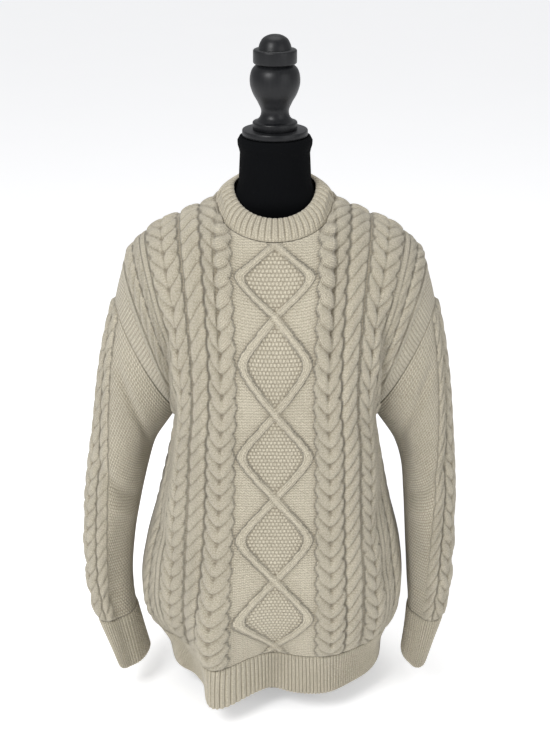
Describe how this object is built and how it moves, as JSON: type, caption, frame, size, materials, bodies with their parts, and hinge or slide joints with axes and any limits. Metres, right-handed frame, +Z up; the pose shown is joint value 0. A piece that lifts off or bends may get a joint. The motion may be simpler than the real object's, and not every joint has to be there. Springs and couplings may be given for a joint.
{
  "type": "cable knit sweater on a dress form",
  "caption": "Crew-neck cable knit sweater with dropped shoulders and long sleeves, worn by a limbless dress form with a flat bottom and a turned neck finial",
  "frame": {"origin": "centre of the dress form's flat bottom, on the surface it stands on", "axes": "+Z up, -Y is the front of the sweater, +X is the viewer's right"},
  "size_m": [0.5409, 0.3226, 0.962],
  "materials": {
    "wool_knit": "undyed heathered wool, soft and slightly hairy, matte",
    "form_jersey": "black stretch jersey drawn over a padded shell, matte",
    "plate_wood": "turned wood, black lacquer, satin",
    "finial_wood": "turned wood, black lacquer, satin"
  },
  "bodies": {
    "root": {"front_panel": "wool_knit", "back_panel": "wool_knit", "hem_rib_front": "wool_knit", "hem_rib_back": "wool_knit", "sleeve_left": "wool_knit", "cuff_left": "wool_knit", "sleeve_right": "wool_knit", "cuff_right": "wool_knit", "neckband": "wool_knit", "form_torso": "form_jersey", "neck_plate": "plate_wood", "finial": "finial_wood"}
  },
  "joints": []
}
